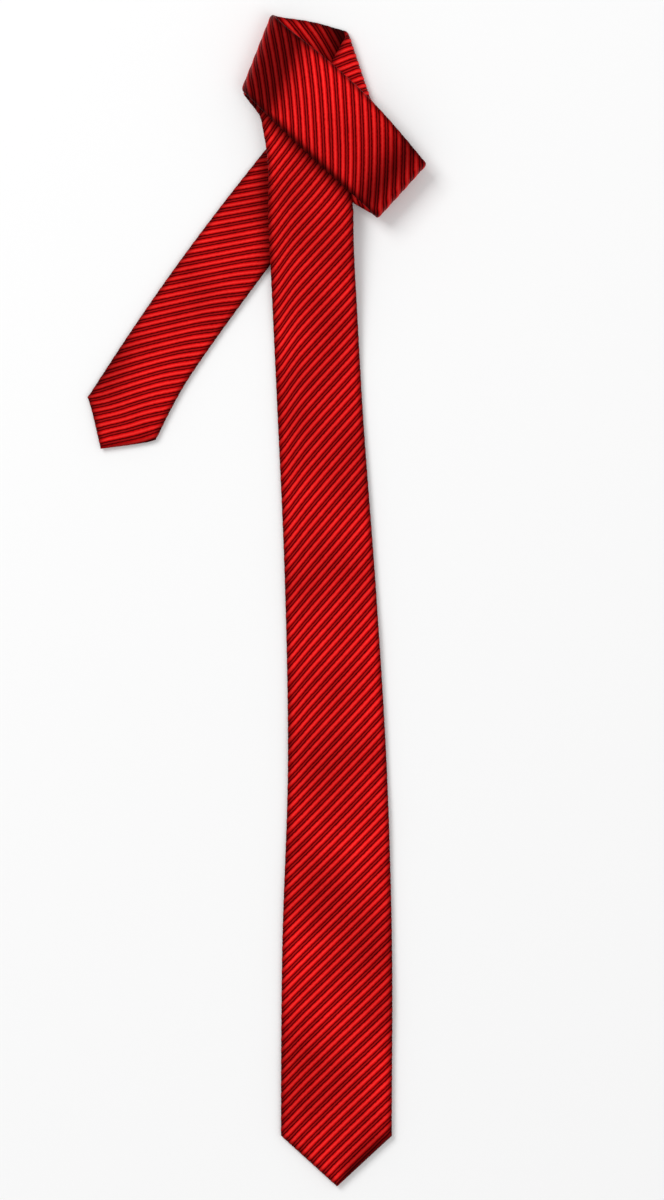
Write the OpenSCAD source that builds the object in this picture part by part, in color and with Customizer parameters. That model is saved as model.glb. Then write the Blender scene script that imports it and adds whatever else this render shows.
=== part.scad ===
// Necktie, laid flat with its neck folded into a loose coil.
// +Z up, the blade's point towards -Y. The origin is at the middle of the laid-out outline, on the resting
// plane.
// The strip of folded silk runs: tail - crease 2 - inner run - crease 3 - top band - crease 4 - under band -
// crease 5 - blade. Every run is a flat hollow tube of silk round a strip of interlining.

/* [Strip] */
// Width of the blade at its corners
blade_w = 70; // [66:1:74]
// Width of the blade at its first bend line
blade_neck_w = 54; // [52:1:57]
// Width of the tail at its corners
tail_w = 51; // [48:1:53]
// Thickness of the folded strip
loft = 3; // [2.8:0.1:3]
// Thickness of one layer of silk with its turnings
silk = 0.4; // [0.3:0.05:0.5]
// Length of the blade's point, from corners to tip
blade_point = 32; // [28:1:36]
// Length of the tail's point
tail_point = 23; // [20:1:26]

/* [Bend lines] */
// Length of one blade panel between bend lines
panel_len = 113; // [108:1:116]
// Free gap between two panels at a bend line
cut = 0.6; // [0.5:0.1:1]
// Distance of the tail's first bend line from its tip
tail_bend_1 = 136; // [130:1:140]
// Distance of the tail's second bend line from its tip
tail_bend_2 = 70; // [60:1:80]

/* [Back trim] */
// Length of the keeper loop across the blade
keeper_len = 48; // [40:1:52]
// Width of the keeper loop
keeper_w = 12; // [9:1:14]
// Length of the maker's label across the blade
label_len = 44; // [36:1:48]
// Width of the maker's label
label_w = 18; // [14:1:20]
// Width of the care label
care_w = 22; // [16:1:24]
// Length of the care label from its sewn edge
care_len = 16; // [12:1:18]

/* [Hidden] */
$fn = 48;

play = 0.1;             // clear space between silk and interlining
lining = 0.25;          // thickness of the tipping
thread = 0.3;           // thickness of the sewing thread
slot_w = 0.5;           // gap at the back seam, where the slip stitch runs
layer = loft + 0.3;     // height from one layer of the coil to the next
flats = 6;              // flats round a quarter of a roll

// Heights of the undersides
z_blade = 1;            // blade panels lie on the keeper
z_tail = 0.5;           // tail lies on its bar tack
z_inner = 0;            // inner run lies on the table
z_tail_high = layer;    // tail where it crosses the inner run
z_under = 2 * layer;    // under band
z_blade_high = 3 * layer;
z_band = 4 * layer;     // top band

// Crease outlines in plan: the a end is on the tail's left edge, the b end on its right edge
c2 = [[56.5, 357], [74, 306.5]];
c3 = [[9, 369], [-9, 324]];
c4 = [[106.5, 275], [75.5, 241]];
c5 = [[41, 338.5], [-6, 315]];

// Blade: bend lines from the top, with centre line and widths at them and at the corners
bend_y = [120, 120 - panel_len, 120 - 2 * panel_len, 120 - 3 * panel_len];
corner_y = -337;
station_y = concat(bend_y, [corner_y]);
centre_x = [39.7, 46.3, 50.6, 50.5, 50];
taper = [0, 0.22, 0.54, 0.96, 1];
station_w = [for (k = taper) blade_neck_w + (blade_w - blade_neck_w) * k];
blade_tip = [50.4, corner_y - blade_point];
mid_x = 50.4;           // centre line of the trim on the blade's back
tack_y = -264;          // blade bar tack, where the back flaps part
keeper_y = -158;
label_y = -182;
care_y = -193.5;        // sewn edge of the care label

// Tail: its axis from the middle of crease 2 to the tip
tail_root = (c2[0] + c2[1]) / 2;
tail_tip = [-98.5, 95.5];
tail_axis = (tail_tip - tail_root) / norm(tail_tip - tail_root);
tail_len = norm(tail_tip - tail_root);
tail_side = [tail_axis.y, -tail_axis.x];          // towards the a edge
tail_corner = tail_tip - tail_axis * tail_point;
tail_a = tail_corner + tail_side * tail_w / 2;
tail_b = tail_corner - tail_side * tail_w / 2;
tail_seam = 80;         // piecing seam, measured from crease 2
tail_cuts = [tail_len - tail_bend_1, tail_len - tail_bend_2];
tail_tack = tail_len - 62;

function unit(v) = v / norm(v);
function side_of(v) = [-v.y, v.x];
// Where the line through p along u meets the line through q along v
function meet(p, u, q, v) = p + u * cross(q - p, v) / cross(u, v);
// Unit normal of the line p-q that points towards the point c
function inward(p, q, c) =
    let (n = side_of(unit(q - p)))
    n * (c - p) > 0 ? n : -n;
function middle(e, f) = (e[0] + e[1] + f[0] + f[1]) / 4;
// The line parallel to the end line e at a distance x inside the run e-f, between the run's long edges, which
// are drawn in by d
function inset_line(e, f, x, d) =
    let (
        c = middle(e, f),
        p = e[0] + inward(e[0], e[1], c) * x,
        pa = e[0] + inward(e[0], f[0], c) * d,
        pb = e[1] + inward(e[1], f[1], c) * d
    )
    [meet(pa, f[0] - e[0], p, e[1] - e[0]), meet(pb, f[1] - e[1], p, e[1] - e[0])];

// A point a share k of the way from p to q
function between(p, q, k) = p + (q - p) * k;

// Piecing seam under the blade, half way along the under band
seam_b = [between(c5[0], c4[0], 0.5), between(c5[1], c4[1], 0.5)];

// The tail's two edge points at a distance s from crease 2 along its axis
function tail_line(s) =
    let (p = tail_root + tail_axis * s)
    [meet(p, tail_side, c2[0], tail_a - c2[0]), meet(p, tail_side, c2[1], tail_b - c2[1])];

// Outline of the tail between two distances, its long edges drawn in by d
function tail_outline(s0, s1, d) =
    let (e = tail_line(s0), f = tail_line(s1))
    [e[0] - tail_side * d, f[0] - tail_side * d, f[1] + tail_side * d, e[1] + tail_side * d];

// Middle and half width of the blade at height y between bend lines i and i + 1
function station(i, y) =
    let (k = (station_y[i] - y) / (station_y[i] - station_y[i + 1]))
    [between(centre_x[i], centre_x[i + 1], k), between(station_w[i], station_w[i + 1], k) / 2];

// Outline of blade panel i from y0 down to y1, drawn in by d at the sides
function panel_outline(i, y0, y1, d) =
    let (e = station(i, y0), f = station(i, y1))
    [[e[0] - e[1] + d, y0], [e[0] + e[1] - d, y0], [f[0] + f[1] - d, y1], [f[0] - f[1] + d, y1]];

module prism(points, z, h) {
    translate([0, 0, z]) linear_extrude(h) polygon(points);
}

// A bar of width w from p to q, from height z up by h
module bar(p, q, w, z, h) {
    translate([p.x, p.y, z])
        rotate([0, 0, atan2(q.y - p.y, q.x - p.x)])
        translate([0, -w / 2, 0]) cube([norm(q - p), w, h]);
}

// The strip is swept through rings of four points: the front's a and b edge, then the back's b and a edge.
// The front is always on the outside of a crease.

// Ring on the plan line [a, b] of a level stretch whose underside is at height z, its front up or down
function flat_ring(line, z, up, d) =
    let (front = up ? z + loft - d : z + d, back = up ? z + d : z + loft - d)
    [
        [line[0].x, line[0].y, front], [line[1].x, line[1].y, front],
        [line[1].x, line[1].y, back], [line[0].x, line[0].y, back]
    ];

// Ring k of the rolled crease e between heights zs, on the run e-f: 0 joins the run and the last is outermost
function roll_ring(e, f, zs, up, d, k) =
    let (
        t = 90 * k / flats,
        r = (zs[1] - zs[0]) / 2,
        ro = r - d,
        ri = r - loft + d,
        z = (zs[0] + zs[1]) / 2,
        q = up ? 1 : -1,
        o = inset_line(e, f, r - ro * sin(t), d),
        i = inset_line(e, f, r - ri * sin(t), d)
    )
    [
        [o[0].x, o[0].y, z + q * ro * cos(t)], [o[1].x, o[1].y, z + q * ro * cos(t)],
        [i[1].x, i[1].y, z + q * ri * cos(t)], [i[0].x, i[0].y, z + q * ri * cos(t)]
    ];

// Rings of a run at height z between end lines e and f. zs_e and zs_f are the heights that a crease there
// joins, or [] where the run is cut; a cut end is drawn in by trim.
function run_rings(e, f, z, up, d, zs_e, zs_f, trim = 0) = concat(
    len(zs_e) > 0
        ? [for (k = [flats : -1 : 0]) roll_ring(e, f, zs_e, up, d, k)]
        : [flat_ring(inset_line(e, f, trim, d), z, up, d)],
    len(zs_f) > 0
        ? [for (k = [0 : flats]) roll_ring(f, e, zs_f, up, d, k)]
        : [flat_ring(inset_line(f, e, trim, d), z, up, d)]
);

// Lists of rings end to end; two runs share the outermost ring of their crease
function chain(lists) = [
    for (i = [0 : len(lists) - 1], j = [i == 0 ? 0 : 1 : len(lists[i]) - 1]) lists[i][j]
];

module sweep(rings) {
    n = len(rings);
    sides = [
        for (i = [0 : n - 2], j = [0 : 3])
            let (k = (j + 1) % 4, p = 4 * i) each [[p + j, p + 4 + j, p + 4 + k], [p + j, p + 4 + k, p + k]]
    ];
    first = [[0, 1, 2], [0, 2, 3]];
    last = [for (t = first) [for (k = [2 : -1 : 0]) 4 * (n - 1) + t[k]]];
    polyhedron(points = [for (ring = rings) each ring], faces = concat(first, last, sides));
}

// Rings of a slot or thread w wide along the middle of the back, from lo to hi above the back's surface
function seam_rings(rings, w, lo, hi) = [
    for (ring = rings)
        let (
            p = (ring[2] + ring[3]) / 2,
            u = unit(ring[2] - ring[3]) * w / 2,
            v = unit((ring[0] + ring[1]) / 2 - p)
        )
        [p + v * hi - u, p + v * hi + u, p + v * lo + u, p + v * lo - u]
];

zs2 = [z_inner, z_tail_high + loft];
zs3 = [z_inner, z_band + loft];
zs4 = [z_under, z_band + loft];
zs5 = [z_under, z_blade_high + loft];
roll2 = (zs2[1] - zs2[0]) / 2;
roll5 = (zs5[1] - zs5[0]) / 2;
tail_marks = [36, 58];                  // where the tail comes down off the inner run
blade_shoulders = [[59.5, 245], [5, 281]];
landing = 0.78;                         // share of the way to its first bend line at which the blade is down
ramp = 8;                               // flats in its way down

function tail_ring(s, z, d) =
    let (e = tail_line(s))
    flat_ring([e[0] - tail_side * d, e[1] + tail_side * d], z, true, d);

// Tail from a distance s up to the flat stretch before crease 2
function tail_slope(s, d) = [
    tail_ring(s, z_tail, d), tail_ring(tail_marks[1], z_tail, d), tail_ring(tail_marks[0], z_tail_high, d)
];

function tail_top(s, d) = concat(
    tail_slope(s, d),
    [for (k = [0 : flats]) roll_ring(c2, tail_line(tail_seam), zs2, true, d, k)]
);

// Ring across the blade at a share k of the way from its shoulders to the height y
function blade_ring(y, k, z, d) =
    let (
        e = station(0, y),
        a = between(blade_shoulders[0], [e[0] + e[1], y], k),
        b = between(blade_shoulders[1], [e[0] - e[1], y], k),
        u = unit(b - a) * d / abs(unit(b - a).x)
    )
    flat_ring([a + u, b - u], z, true, d);

// Blade from its shoulders down to the height y
function blade_slope(y, d) = concat(
    [for (k = [0 : ramp])
        blade_ring(y, landing * k / ramp, z_blade_high + (z_blade - z_blade_high) * k / ramp, d)],
    [blade_ring(y, 1, z_blade, d)]
);

function blade_top(y, d) = concat(
    [for (k = [flats : -1 : 0]) roll_ring(c5, blade_shoulders, zs5, true, d, k)],
    blade_slope(y, d)
);

// Ring 2 mm wide about the tail's axis at a distance s
function tail_mark(s, z) = flat_ring([on_tail(s, 1), on_tail(s, -1)], z, true, 0);

// Back seam slot or slip stitch along the tail and the blade inside the coil: w wide, lo to hi above the back
module coil_seam(w, lo, hi, s_end, y_end, gap) {
    s_start = (roll2 + gap) / abs(cross(unit(c2[1] - c2[0]), tail_axis));
    sweep(seam_rings([
        tail_mark(s_end, z_tail), tail_mark(tail_marks[1], z_tail),
        tail_mark(tail_marks[0], z_tail_high), tail_mark(s_start, z_tail_high)
    ], w, lo, hi));
    blade_start = flat_ring(inset_line(c5, blade_shoulders, roll5 + gap, 0), z_blade_high, true, 0);
    sweep(seam_rings(concat([blade_start], blade_slope(y_end, 0)), w, lo, hi));
}

// The same along a run between creases, a bar from crease e to crease f
module run_seam(e, f, z, w, lo, hi, gap_e, gap_f) {
    p = (e[0] + e[1]) / 2;
    q = (f[0] + f[1]) / 2;
    u = unit(q - p);
    bar(p + u * gap_e, q - u * gap_f, w, z + lo, hi - lo);
}

module neck_seams(w, lo, hi, gap) {
    run_seam(c2, c3, z_inner, w, loft - hi, loft - lo, roll2 + gap, z_band / 2 + gap);
    run_seam(c3, c4, z_band, w, lo, hi, z_band / 2 + gap, layer + gap);
    run_seam(c5, c4, z_under, w, loft - hi, loft - lo, roll5 + gap, layer + gap);
}

// ---- silk ----

module silk_colour() {
    color([0.72, 0.02, 0.04]) children();
}

module blade_panel(i, y0, y1, d, lo, hi) {
    prism(panel_outline(i, y0, y1, d), z_blade + lo, hi - lo);
}

function panel_top(i) = bend_y[i] - cut / 2;
function panel_bottom(i) = bend_y[i + 1] + cut / 2;
function panel_middle(i) = [centre_x[i], bend_y[i]];

module panel_shell(i) {
    silk_colour() difference() {
        blade_panel(i, panel_top(i), panel_bottom(i), 0, 0, loft);
        blade_panel(i, panel_top(i) + 1, panel_bottom(i) - 1, silk, silk, loft - silk);
        bar(panel_middle(i), panel_middle(i + 1), slot_w, z_blade - 1, 1 + silk + play / 2);
    }
}

module blade_shell_upper() { panel_shell(0); }
module blade_shell_middle() { panel_shell(1); }
module blade_shell_lower() { panel_shell(2); }

// Outline of the blade's pointed panel, drawn in by d, its open end at y
function tip_outline(y, d) =
    let (e = station(3, y))
    [
        [e[0] - e[1] + d, y], [e[0] + e[1] - d, y],
        [centre_x[4] + blade_w / 2 - d, corner_y], [blade_tip.x, blade_tip.y + d * 1.4],
        [centre_x[4] - blade_w / 2 + d, corner_y]
    ];

// Opening between the back flaps and the hem, grown by g on every side
function blade_kite(g) = [
    [mid_x, tack_y + 2 * g], [centre_x[4] + blade_w / 2 - 9 + g, corner_y + 2],
    [mid_x, blade_tip.y + 10 - g], [centre_x[4] - blade_w / 2 + 9 - g, corner_y + 2]
];

module blade_shell_tip() {
    silk_colour() difference() {
        prism(tip_outline(panel_top(3), 0), z_blade, loft);
        prism(tip_outline(panel_top(3) + 1, silk), z_blade + silk, loft - 2 * silk);
        bar([mid_x, bend_y[3] + 1], [mid_x, tack_y - 2], slot_w, z_blade - 1, 1 + silk + play / 2);
        prism(blade_kite(0), z_blade - 1, 1 + silk + play / 2);
    }
}

// Rings of the blade's top shell and of the neck's, drawn in by d and longer by over at the open ends
function blade_top_rings(d, over) = chain([
    run_rings(seam_b, c5, z_under, false, d, [], zs5, 0.2 - over),
    blade_top(bend_y[0] + cut / 2 - over, d)
]);

function neck_rings(d, over) = chain([
    tail_top(tail_seam - 0.2 + over, d),
    run_rings(c2, c3, z_inner, false, d, zs2, zs3),
    run_rings(c3, c4, z_band, true, d, zs3, zs4),
    run_rings(c4, seam_b, z_under, false, d, zs4, [], 0.2 - over)
]);

module blade_shell_top() {
    silk_colour() difference() {
        sweep(blade_top_rings(0, 0));
        sweep(blade_top_rings(silk, 1));
        coil_seam(slot_w, -0.1, silk + play, tail_seam, bend_y[0] - 1, 1);
        neck_seams(slot_w, -0.1, silk + play, 1);
    }
}

module neck_shell() {
    silk_colour() difference() {
        sweep(neck_rings(0, 0));
        sweep(neck_rings(silk, 1));
        coil_seam(slot_w, -0.1, silk + play, tail_seam + 1, bend_y[0], 1);
        neck_seams(slot_w, -0.1, silk + play, 1);
    }
}

module tail_panel(s0, s1, d, lo, hi) {
    prism(tail_outline(s0, s1, d), z_tail + lo, hi - lo);
}

module tail_slot(s0, s1) {
    bar(tail_root + tail_axis * s0, tail_root + tail_axis * s1, slot_w, z_tail - 1, 1 + silk + play / 2);
}

module tail_panel_shell(s0, s1) {
    silk_colour() difference() {
        tail_panel(s0, s1, 0, 0, loft);
        tail_panel(s0 - 1, s1 + 1, silk, silk, loft - silk);
        tail_slot(s0 - 1, s1 + 1);
    }
}

module tail_shell_top() { tail_panel_shell(tail_seam + 0.2, tail_cuts[0] - cut / 2); }
module tail_shell_middle() { tail_panel_shell(tail_cuts[0] + cut / 2, tail_cuts[1] - cut / 2); }

// Outline of the tail's pointed panel, drawn in by d, its open end at s
function tail_tip_outline(s, d) =
    let (e = tail_line(s))
    [
        e[0] - tail_side * d, tail_a - tail_side * d, tail_tip - tail_axis * d * 1.4,
        tail_b + tail_side * d, e[1] + tail_side * d
    ];

// A point on the tail: s along its axis from crease 2, v to the a side
function on_tail(s, v) = tail_root + tail_axis * s + tail_side * v;

function tail_kite(g) = [
    on_tail(tail_tack - 2 * g, 0), on_tail(tail_len - tail_point - 2, tail_w / 2 - 7 + g),
    on_tail(tail_len - 8 + g, 0), on_tail(tail_len - tail_point - 2, -tail_w / 2 + 7 - g)
];

module tail_shell_tip() {
    silk_colour() difference() {
        prism(tail_tip_outline(tail_cuts[1] + cut / 2, 0), z_tail, loft);
        prism(tail_tip_outline(tail_cuts[1] - 1, silk), z_tail + silk, loft - 2 * silk);
        tail_slot(tail_cuts[1] - 1, tail_tack + 2);
        prism(tail_kite(0), z_tail - 1, 1 + silk + play / 2);
    }
}

// ---- interlining ----

core = silk + play;                     // how far the interlining stays inside the outline
tip_core = silk + lining + 2 * play;    // height of its underside above a tipping

module core_colour() {
    color([0.88, 0.86, 0.80]) children();
}

module panel_interlining(i) {
    core_colour() blade_panel(i, panel_top(i), panel_bottom(i), core, core, loft - core);
}

module interlining_blade_upper() { panel_interlining(0); }
module interlining_blade_middle() { panel_interlining(1); }
module interlining_blade_lower() { panel_interlining(2); }

module interlining_blade_tip() {
    core_colour() prism(tip_outline(panel_top(3), core), z_blade + tip_core, loft - core - tip_core);
}

module interlining_neck() {
    core_colour() sweep(chain([
        tail_top(tail_cuts[0] - cut / 2, core),
        run_rings(c2, c3, z_inner, false, core, zs2, zs3),
        run_rings(c3, c4, z_band, true, core, zs3, zs4),
        run_rings(c4, c5, z_under, false, core, zs4, zs5),
        blade_top(bend_y[0] + cut / 2, core)
    ]));
}

module interlining_tail_middle() {
    core_colour() tail_panel(tail_cuts[0] + cut / 2, tail_cuts[1] - cut / 2, core, core, loft - core);
}

module interlining_tail_tip() {
    core_colour()
        prism(tail_tip_outline(tail_cuts[1] + cut / 2, core), z_tail + tip_core, loft - core - tip_core);
}

// ---- slip stitch that closes the back seam ----

module thread_colour() {
    color([0.80, 0.06, 0.08]) children();
}

module panel_stitch(i) {
    p = panel_middle(i);
    q = panel_middle(i + 1);
    u = unit(q - p);
    thread_colour() bar(p + u, q - u, thread, z_blade + 0.05, thread);
}

module slip_stitch_blade_upper() { panel_stitch(0); }
module slip_stitch_blade_middle() { panel_stitch(1); }
module slip_stitch_blade_lower() { panel_stitch(2); }

module slip_stitch_blade_tip() {
    thread_colour() bar([mid_x, bend_y[3] - 1], [mid_x, tack_y + 1], thread, z_blade + 0.05, thread);
}

module slip_stitch_neck() {
    thread_colour() {
        coil_seam(thread, 0.05, 0.05 + thread, tail_cuts[0] - 1, bend_y[0] + 1, 2);
        neck_seams(thread, 0.05, 0.05 + thread, 2);
    }
}

module tail_stitch(s0, s1) {
    thread_colour() bar(on_tail(s0, 0), on_tail(s1, 0), thread, z_tail + 0.05, thread);
}

module slip_stitch_tail_middle() { tail_stitch(tail_cuts[0] + 1, tail_cuts[1] - 1); }
module slip_stitch_tail_tip() { tail_stitch(tail_cuts[1] + 1, tail_tack - 1); }

// ---- piecing seams: a thread in the joint of the front layer and one in the joint of the back layer ----

module seam_threads(e, z) {
    p = between(e[0], e[1], 0.03);
    q = between(e[0], e[1], 0.97);
    thread_colour() {
        bar(p, q, thread, z, silk);
        bar(p, between(p, q, 0.48), thread, z + loft - silk, silk);
        bar(between(p, q, 0.52), q, thread, z + loft - silk, silk);
    }
}

module blade_piecing_seam() { seam_threads(seam_b, z_under); }

module tail_piecing_seam() {
    e = tail_line(tail_seam);
    p = between(e[0], e[1], 0.03);
    q = between(e[0], e[1], 0.97);
    thread_colour() {
        bar(p, q, thread, z_tail + loft - silk, silk);
        bar(p, between(p, q, 0.48), thread, z_tail, silk);
        bar(between(p, q, 0.52), q, thread, z_tail, silk);
    }
}

// ---- tippings and their stitches ----

module lining_colour() {
    color([0.55, 0.03, 0.05]) children();
}

module blade_tipping() {
    lining_colour() prism(blade_kite(4), z_blade + silk + play / 2, lining);
}

module tail_tipping() {
    lining_colour() prism(tail_kite(3), z_tail + silk + play / 2, lining);
}

// Short stitches spaced evenly from p to q
module stitches(p, q, count, z) {
    u = unit(q - p);
    for (k = [1 : count]) {
        m = between(p, q, k / (count + 1));
        bar(m - u, m + u, thread, z, thread);
    }
}

module hem_stitches(kite, count, z) {
    thread_colour() {
        stitches(kite[1], kite[2], count, z);
        stitches(kite[2], kite[3], count, z);
    }
}

module blade_hem_stitches() { hem_stitches(blade_kite(-1), 7, z_blade + 0.05); }
module tail_hem_stitches() { hem_stitches(tail_kite(-1), 5, z_tail + 0.05); }

module blade_bar_tack() {
    thread_colour() bar([mid_x - 4.5, tack_y], [mid_x + 4.5, tack_y], 1.4, z_blade - 0.4, 0.4);
}

module tail_bar_tack() {
    thread_colour() bar(on_tail(tail_tack, -3.5), on_tail(tail_tack, 3.5), 1.2, z_tail - 0.4, 0.4);
}

// Slack end of the slip stitch, a loop about 12 mm across
module spare_thread_loop() {
    thread_colour() translate([mid_x, tack_y - 8, z_blade - 0.25])
        rotate_extrude() translate([5.5, 0]) circle(r = thread / 2, $fn = 24);
}

// ---- keeper and labels on the blade's back ----

foot_len = 4;           // sewn end of the keeper

module keeper_loop() {
    silk_colour() difference() {
        translate([mid_x - keeper_len / 2, keeper_y - keeper_w / 2, 0]) cube([keeper_len, keeper_w, z_blade]);
        translate([mid_x - keeper_len / 2 + foot_len, keeper_y - keeper_w, 0.55])
            cube([keeper_len - 2 * foot_len, 2 * keeper_w, z_blade]);
        for (side = [-1, 1])
            translate([mid_x + side * (keeper_len - foot_len) / 2 - 0.5, keeper_y - keeper_w / 2 + 2, -1])
                cube([1, keeper_w - 4, 1.4]);
    }
}

module keeper_tacks() {
    thread_colour() for (side = [-1, 1])
        translate([mid_x + side * (keeper_len - foot_len) / 2 - 0.4, keeper_y - keeper_w / 2 + 2.2, 0.05])
            cube([0.8, keeper_w - 4.4, 0.3]);
}

module maker_label() {
    color([0.12, 0.12, 0.14])
        translate([mid_x - label_len / 2, label_y - label_w / 2, z_blade - 0.35])
        cube([label_len, label_w, 0.35]);
}

module maker_label_stitches() {
    color([0.85, 0.82, 0.70]) for (side = [-1, 1], k = [-2 : 2])
        translate([mid_x + side * (label_len / 2 - 1.5) - 0.15, label_y + k * label_w / 6 - 1, z_blade - 0.6])
            cube([0.3, 2, 0.25]);
}

module care_label() {
    color([0.93, 0.92, 0.90])
        translate([mid_x - care_w / 2, care_y - care_len, 0.15]) cube([care_w, care_len, 0.3]);
}

module care_label_stitches() {
    color([0.93, 0.92, 0.90]) for (k = [-2 : 2])
        translate([mid_x + k * care_w / 5.5 - 1, care_y - 1, z_blade - 0.2]) cube([2, 0.3, 0.2]);
}

blade_shell_tip();
blade_shell_lower();
blade_shell_middle();
blade_shell_upper();
blade_shell_top();
neck_shell();
tail_shell_top();
tail_shell_middle();
tail_shell_tip();
interlining_blade_tip();
interlining_blade_lower();
interlining_blade_middle();
interlining_blade_upper();
interlining_neck();
interlining_tail_middle();
interlining_tail_tip();
slip_stitch_blade_tip();
slip_stitch_blade_lower();
slip_stitch_blade_middle();
slip_stitch_blade_upper();
slip_stitch_neck();
slip_stitch_tail_middle();
slip_stitch_tail_tip();
blade_piecing_seam();
tail_piecing_seam();
blade_tipping();
tail_tipping();
blade_hem_stitches();
tail_hem_stitches();
blade_bar_tack();
tail_bar_tack();
spare_thread_loop();
keeper_loop();
keeper_tacks();
maker_label();
maker_label_stitches();
care_label();
care_label_stitches();
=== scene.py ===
"""Necktie of ribbed silk, laid flat with its neck folded into a loose coil.

The tie is one folded strip. Every layer is drawn flat in strip space (X across, s along from the tail's tip,
Z through, front positive, in millimetres) and then laid along the strip's course through the coil.
"""
import math

import bmesh
import bpy
import numpy as np
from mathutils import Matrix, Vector


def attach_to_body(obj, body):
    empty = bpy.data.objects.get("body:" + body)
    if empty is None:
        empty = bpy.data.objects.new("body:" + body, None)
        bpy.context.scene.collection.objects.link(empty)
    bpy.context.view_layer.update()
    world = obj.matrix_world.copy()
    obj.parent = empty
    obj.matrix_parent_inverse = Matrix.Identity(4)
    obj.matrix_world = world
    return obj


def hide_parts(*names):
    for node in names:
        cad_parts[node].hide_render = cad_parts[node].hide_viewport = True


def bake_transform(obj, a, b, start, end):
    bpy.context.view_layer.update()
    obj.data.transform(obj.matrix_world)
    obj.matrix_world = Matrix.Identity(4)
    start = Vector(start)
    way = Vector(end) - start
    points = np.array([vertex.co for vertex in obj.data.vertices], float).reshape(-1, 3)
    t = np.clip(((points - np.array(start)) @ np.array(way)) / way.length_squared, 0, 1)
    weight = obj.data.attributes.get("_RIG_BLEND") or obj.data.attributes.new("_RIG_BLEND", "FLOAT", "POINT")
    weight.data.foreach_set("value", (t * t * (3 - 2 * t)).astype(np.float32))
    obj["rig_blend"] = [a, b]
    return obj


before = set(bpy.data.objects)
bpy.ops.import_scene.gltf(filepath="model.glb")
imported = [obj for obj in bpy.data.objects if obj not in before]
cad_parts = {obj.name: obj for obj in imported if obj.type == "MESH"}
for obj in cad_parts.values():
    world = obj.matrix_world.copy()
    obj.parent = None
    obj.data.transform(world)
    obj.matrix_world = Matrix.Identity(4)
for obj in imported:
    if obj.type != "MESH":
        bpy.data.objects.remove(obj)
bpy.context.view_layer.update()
MM = 0.001

# ---- sizes, as in the CAD model ----
LOFT = 3.0  # thickness of the folded strip
HALF = LOFT / 2
Z_TAIL, Z_TAIL_HIGH, Z_INNER = 2.0, 4.8, 1.5  # middle of the strip's thickness in each run
Z_BAND, Z_UNDER, Z_BLADE_HIGH, Z_BLADE = 14.7, 8.1, 11.4, 2.5

# Crease outlines in plan: a end (left edge of the tail), b end
C2 = np.array([[58.2, 356.2], [74.9, 306.8]])
C3 = np.array([[9.0, 369.0], [-10.0, 321.0]])
C4 = np.array([[107.2, 273.8], [76.2, 239.8]])
C5 = np.array([[41.0, 338.5], [-9.2, 320.0]])
SHOULDERS = np.array([[59.5, 245.0], [5.0, 281.0]])
# The run before each crease: how far its a and b edge bow outwards, and how high it is crowned
RUNS = (("c2", (-6.0, 0.0), 0.0), ("c3", (2.0, 0.0), 0.0), ("c4", (4.5, 1.0), 1.6), ("c5", (-5.5, 8.5), 0.0))

TAIL_TIP = np.array([-98.5, 95.5])
TAIL_POINT, TAIL_W = 23.0, 51.0
TAIL_ROOT = C2.mean(0)
TAIL_LEN = float(np.linalg.norm(TAIL_ROOT - TAIL_TIP))
TAIL_RAMP = (58.0, 36.0)  # where the tail climbs on to the inner run, from crease 2
TAIL_SEAM = TAIL_LEN - 80.0  # piecing seam, from the tip
TAIL_BENDS = (70.0, 136.0)
TAIL_TACK = 62.0
# The tail lies in a slight curve. Both edges lean towards the a side: how far, and the share of the tail's length
# from its corners over which the a edge leans, the b edge leans further, and the b edge comes back
LEAN_A, LEAN_B = (3.1, 0.76), (4.6, 0.19, 0.55)

BLADE_BENDS = (120.0, 7.0, -106.0, -219.0)
CORNER_Y, BLADE_POINT, BLADE_MID = -337.0, 32.0, 50.4
BLADE_TOP = np.array([322.0, 306.0])  # y of the a and b edge where the blade leaves the coil
LANDING = 0.78  # share of the way from the shoulders to the first bend at which the blade is down
TACK_Y, KEEPER_Y, LABEL_Y, CARE_Y = -264.0, -158.0, -182.0, -193.5

# Edges of the blade: (y, x) on its right (a) side and on its left (b) side
EDGE_A = [(338.5, 41), (300, 50.5), (245, 59.5), (195.6, 62.4), (120, 66.7), (7, 75.05), (-106, 81.9),
          (-219, 85.2), (-337, 85), (-400, 85)]
EDGE_B = [(315, -6), (305.9, 1.3), (296.4, 3.4), (281, 5), (243, 6.9), (195.6, 9.1), (120, 12.7), (7, 17.55),
          (-106, 19.3), (-219, 15.8), (-337, 15), (-400, 15)]

# Ribs: one broad and one thin rib to a repeat, slanting across the strip
PITCH = 7.13  # repeat along the strip's length
RIB = (-0.30, 0.25)  # broad rib, as a share of the repeat
THIN = (0.33, 0.58)  # thin rib
DEPTH = 0.42  # depth of the grooves


def smooth(t):
    t = np.clip(t, 0, 1)
    return t * t * (3 - 2 * t)


def unit(v):
    return v / np.linalg.norm(v)


def unit_rows(v):
    return v / np.maximum(np.linalg.norm(v, axis=1), 1e-12)[:, None]


def normal(p, q, point):
    """Unit normal of the plan line p-q, towards the side that a point lies on."""
    n = unit(np.array([p[1] - q[1], q[0] - p[0]]))
    return n * np.sign(n @ (point - p))


def cross2(a, b):
    return a[0] * b[1] - a[1] * b[0]


# ---- course of the strip ----
BEYOND = 10.0  # the course starts this far beyond the tail's tip


def meet(p, u, q, v):
    """Where the line through p along u meets the line through q along v."""
    return p + u * cross2(q - p, v) / cross2(u, v)


def inset_line(e, f, x):
    """The line parallel to the crease e at a distance x inside the run e-f, between the run's long edges."""
    n = normal(e[0], e[1], (e + f).mean(0) / 2)
    return np.array([meet(e[k], f[k] - e[k], e[0] + n * x, e[1] - e[0]) for k in (0, 1)])


def ruling(line, z):
    """The strip's a and b edge points on a plan line at height z."""
    return np.column_stack([line, [z, z]])


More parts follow.
